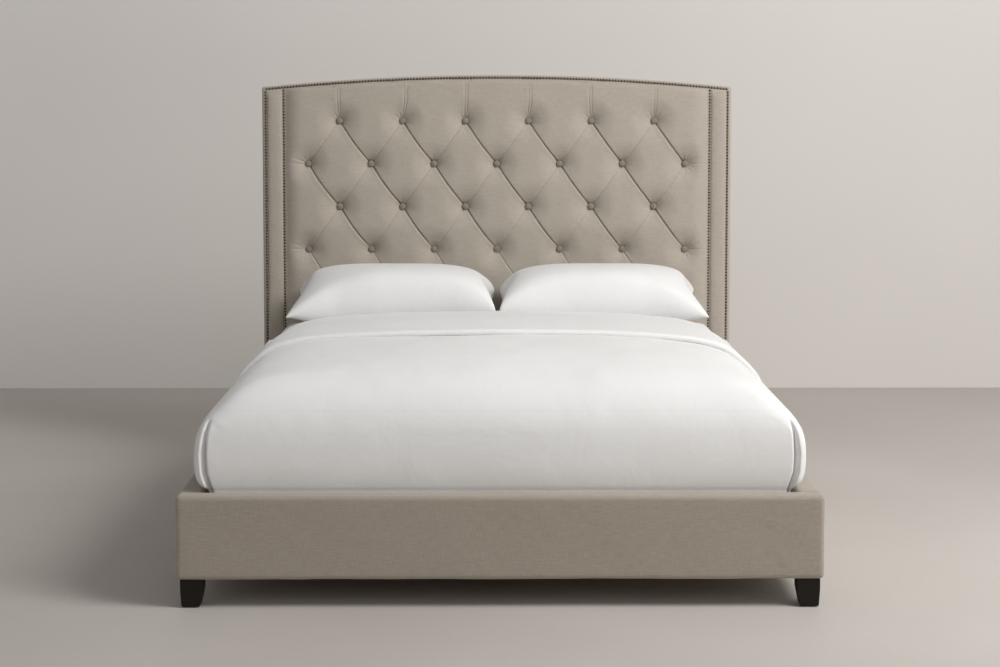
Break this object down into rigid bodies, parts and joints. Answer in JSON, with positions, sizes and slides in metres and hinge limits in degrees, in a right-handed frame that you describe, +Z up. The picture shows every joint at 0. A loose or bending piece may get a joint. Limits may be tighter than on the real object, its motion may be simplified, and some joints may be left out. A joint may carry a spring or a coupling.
{
  "type": "upholstered headboard bed",
  "caption": "Queen bed with an arched, button-tufted linen headboard with nail trim, padded low rails, short dark legs, slatted base, mattress, duvet and pillows.",
  "frame": {"origin": "on the floor, under the middle of the bed's whole footprint", "axes": "+Y runs along the bed towards the headboard, +Z is up, +X is to the right when looking from the foot to the headboard"},
  "size_m": [1.651, 2.22, 1.372],
  "materials": {
    "linen_upholstery": "matte",
    "antique_nails": "satin",
    "frame_timber": "matte",
    "backer_plywood": "matte",
    "dark_leg_wood": "satin",
    "nylon_glide": "matte",
    "bracket_steel": "satin",
    "mattress_ticking": "matte",
    "white_cotton": "matte"
  },
  "bodies": {
    "bed_frame": {"headboard_post_left": "frame_timber", "headboard_post_right": "frame_timber", "headboard_middle_rail": "frame_timber", "headboard_top_rail": "frame_timber", "headboard_lower_beam": "frame_timber", "headboard_backer_board": "backer_plywood", "tufted_panel": "linen_upholstery", "button_row_1": "linen_upholstery", "button_row_2": "linen_upholstery", "button_row_3": "linen_upholstery", "button_row_4": "linen_upholstery", "button_row_5": "linen_upholstery", "border_pad_left": "linen_upholstery", "border_pad_right": "linen_upholstery", "headboard_outer_cover": "linen_upholstery", "nail_strip_outer_left": "antique_nails", "nail_strip_outer_right": "antique_nails", "nail_strip_inner_left": "antique_nails", "nail_strip_inner_right": "antique_nails", "nail_strip_top": "antique_nails", "foot_rail_cover": "linen_upholstery", "foot_rail_board": "frame_timber", "side_rail_cover_left": "linen_upholstery", "side_rail_cover_right": "linen_upholstery", "side_rail_board_left": "frame_timber", "side_rail_board_right": "frame_timber", "slat_ledge_left": "frame_timber", "slat_ledge_right": "frame_timber", "centre_beam": "frame_timber", "centre_leg_front": "dark_leg_wood", "centre_leg_middle": "dark_leg_wood", "centre_leg_rear": "dark_leg_wood", "slat_01": "frame_timber", "slat_02": "frame_timber", "slat_03": "frame_timber", "slat_04": "frame_timber", "slat_05": "frame_timber", "slat_06": "frame_timber", "slat_07": "frame_timber", "slat_08": "frame_timber", "slat_09": "frame_timber", "slat_10": "frame_timber", "corner_bracket_foot_left": "bracket_steel", "corner_bracket_foot_right": "bracket_steel", "corner_bracket_head_left": "bracket_steel", "corner_bracket_head_right": "bracket_steel", "front_leg_left": "dark_leg_wood", "front_leg_right": "dark_leg_wood", "rear_leg_left": "dark_leg_wood", "rear_leg_right": "dark_leg_wood", "glide_front_left": "nylon_glide", "glide_front_right": "nylon_glide", "glide_rear_left": "nylon_glide", "glide_rear_right": "nylon_glide"},
    "mattress": {"mattress": "mattress_ticking", "fitted_sheet": "white_cotton"},
    "duvet": {"duvet": "white_cotton", "turned_down_band": "white_cotton"},
    "pillow_left": {"pillow_left": "white_cotton"},
    "pillow_right": {"pillow_right": "white_cotton"}
  },
  "joints": [
    {"name": "mattress_lift", "type": "slide", "parent": "bed_frame", "child": "mattress", "axis": [0, 0, 1], "range_m": [0, 0.45]},
    {"name": "duvet_lift", "type": "slide", "parent": "mattress", "child": "duvet", "axis": [0, 0, 1], "range_m": [0, 0.35]},
    {"name": "pillow_left_lift", "type": "slide", "parent": "mattress", "child": "pillow_left", "axis": [0, 0, 1], "range_m": [0, 0.4]},
    {"name": "pillow_right_lift", "type": "slide", "parent": "mattress", "child": "pillow_right", "axis": [0, 0, 1], "range_m": [0, 0.4]}
  ]
}
